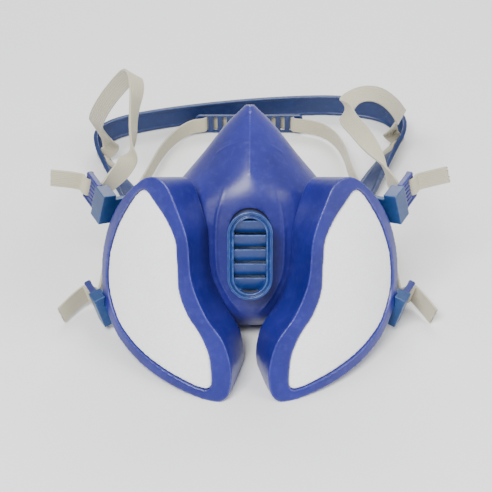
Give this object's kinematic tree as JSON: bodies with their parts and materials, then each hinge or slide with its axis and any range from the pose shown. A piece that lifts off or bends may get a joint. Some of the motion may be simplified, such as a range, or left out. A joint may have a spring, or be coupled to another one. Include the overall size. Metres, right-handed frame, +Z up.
{
  "type": "half-mask respirator",
  "caption": "Reusable blue half-mask respirator with two built-in filter pods, exhalation valve, ladder-buckle straps, crown cradle and neck clasp, lying as on a table.",
  "frame": {"origin": "centre of the bounding box's bottom, on the table the respirator stands on", "axes": "-Y the way the mask's front faces, +Y towards the harness, +X the side of the right-hand filter seen from the front, +Z up"},
  "size_m": [0.2061, 0.273, 0.1054],
  "materials": {
    "facepiece_blue": "satin",
    "pod_blue": "satin",
    "prefilter_white": "fleece",
    "carbon": "granular",
    "grille_grey": "matte",
    "seat_dark": "matte",
    "flap_rubber": "matte",
    "bracket_teal": "satin",
    "buckle_violet": "satin",
    "strap_cream": "woven",
    "valve_teal": "satin",
    "cradle_navy": "satin"
  },
  "bodies": {
    "mask": {"facepiece": "facepiece_blue", "filter_housing_left": "pod_blue", "filter_housing_right": "pod_blue", "prefilter_left": "prefilter_white", "prefilter_right": "prefilter_white", "carbon_bed_left": "carbon", "carbon_bed_right": "carbon", "bed_grille_left": "grille_grey", "bed_grille_right": "grille_grey", "inhale_seat_left": "seat_dark", "inhale_seat_right": "seat_dark", "exhale_seat": "seat_dark", "valve_cover": "valve_teal", "bracket_upper_left": "bracket_teal", "bracket_upper_right": "bracket_teal", "bracket_lower_left": "bracket_teal", "bracket_lower_right": "bracket_teal", "head_cradle": "cradle_navy", "clasp_loop": "cradle_navy", "upper_strap_left": "strap_cream", "upper_strap_right": "strap_cream", "neck_strap_left": "strap_cream", "neck_strap_right": "strap_cream"},
    "buckle_upper_left": {"buckle_upper_left": "buckle_violet"},
    "buckle_upper_right": {"buckle_upper_right": "buckle_violet"},
    "buckle_lower_left": {"buckle_lower_left": "buckle_violet"},
    "buckle_lower_right": {"buckle_lower_right": "buckle_violet"},
    "exhale_flap": {"exhale_flap": "flap_rubber"},
    "inhale_flap_left": {"inhale_flap_left": "flap_rubber"},
    "inhale_flap_right": {"inhale_flap_right": "flap_rubber"},
    "clasp_hook": {"clasp_hook": "cradle_navy"}
  },
  "joints": [
    {"name": "buckle_upper_left_swivel", "type": "hinge", "parent": "mask", "child": "buckle_upper_left", "pos_m": [-0.077, -0.05807, 0.06784], "axis": [0.2303, 0.0118, 0.973], "range_deg": [-18, 18], "deforming": ["upper_strap_left"]},
    {"name": "buckle_upper_right_swivel", "type": "hinge", "parent": "mask", "child": "buckle_upper_right", "pos_m": [0.077, -0.05807, 0.06784], "axis": [-0.2303, 0.0118, 0.973], "range_deg": [-18, 18], "deforming": ["upper_strap_right"]},
    {"name": "buckle_lower_left_swivel", "type": "hinge", "parent": "mask", "child": "buckle_lower_left", "pos_m": [-0.0794, -0.07533, 0.01189], "axis": [-0.2665, 0.0607, 0.9619], "range_deg": [-18, 18], "deforming": ["neck_strap_left"]},
    {"name": "buckle_lower_right_swivel", "type": "hinge", "parent": "mask", "child": "buckle_lower_right", "pos_m": [0.0794, -0.07533, 0.01189], "axis": [0.2665, 0.0607, 0.9619], "range_deg": [-18, 18], "deforming": ["neck_strap_right"]},
    {"name": "exhale_flap_lift", "type": "hinge", "parent": "mask", "child": "exhale_flap", "pos_m": [0, -0.07541, 0.07239], "axis": [-1, 0, 0], "range_deg": [0, 8], "stiffness_Nm_per_rad": 0.001},
    {"name": "inhale_flap_left_lift", "type": "slide", "parent": "mask", "child": "inhale_flap_left", "axis": [0.6428, 0.6943, -0.3237], "range_m": [0, 0.0012], "stiffness_N_per_m": 5, "springref_m": -0.0005},
    {"name": "inhale_flap_right_lift", "type": "slide", "parent": "mask", "child": "inhale_flap_right", "axis": [-0.6428, 0.6943, -0.3237], "range_m": [0, 0.0012], "stiffness_N_per_m": 5, "springref_m": -0.0005},
    {"name": "clasp_release", "type": "slide", "parent": "mask", "child": "clasp_hook", "axis": [0, -1, 0], "range_m": [0, 0.006], "deforming": ["neck_strap_left"]}
  ]
}
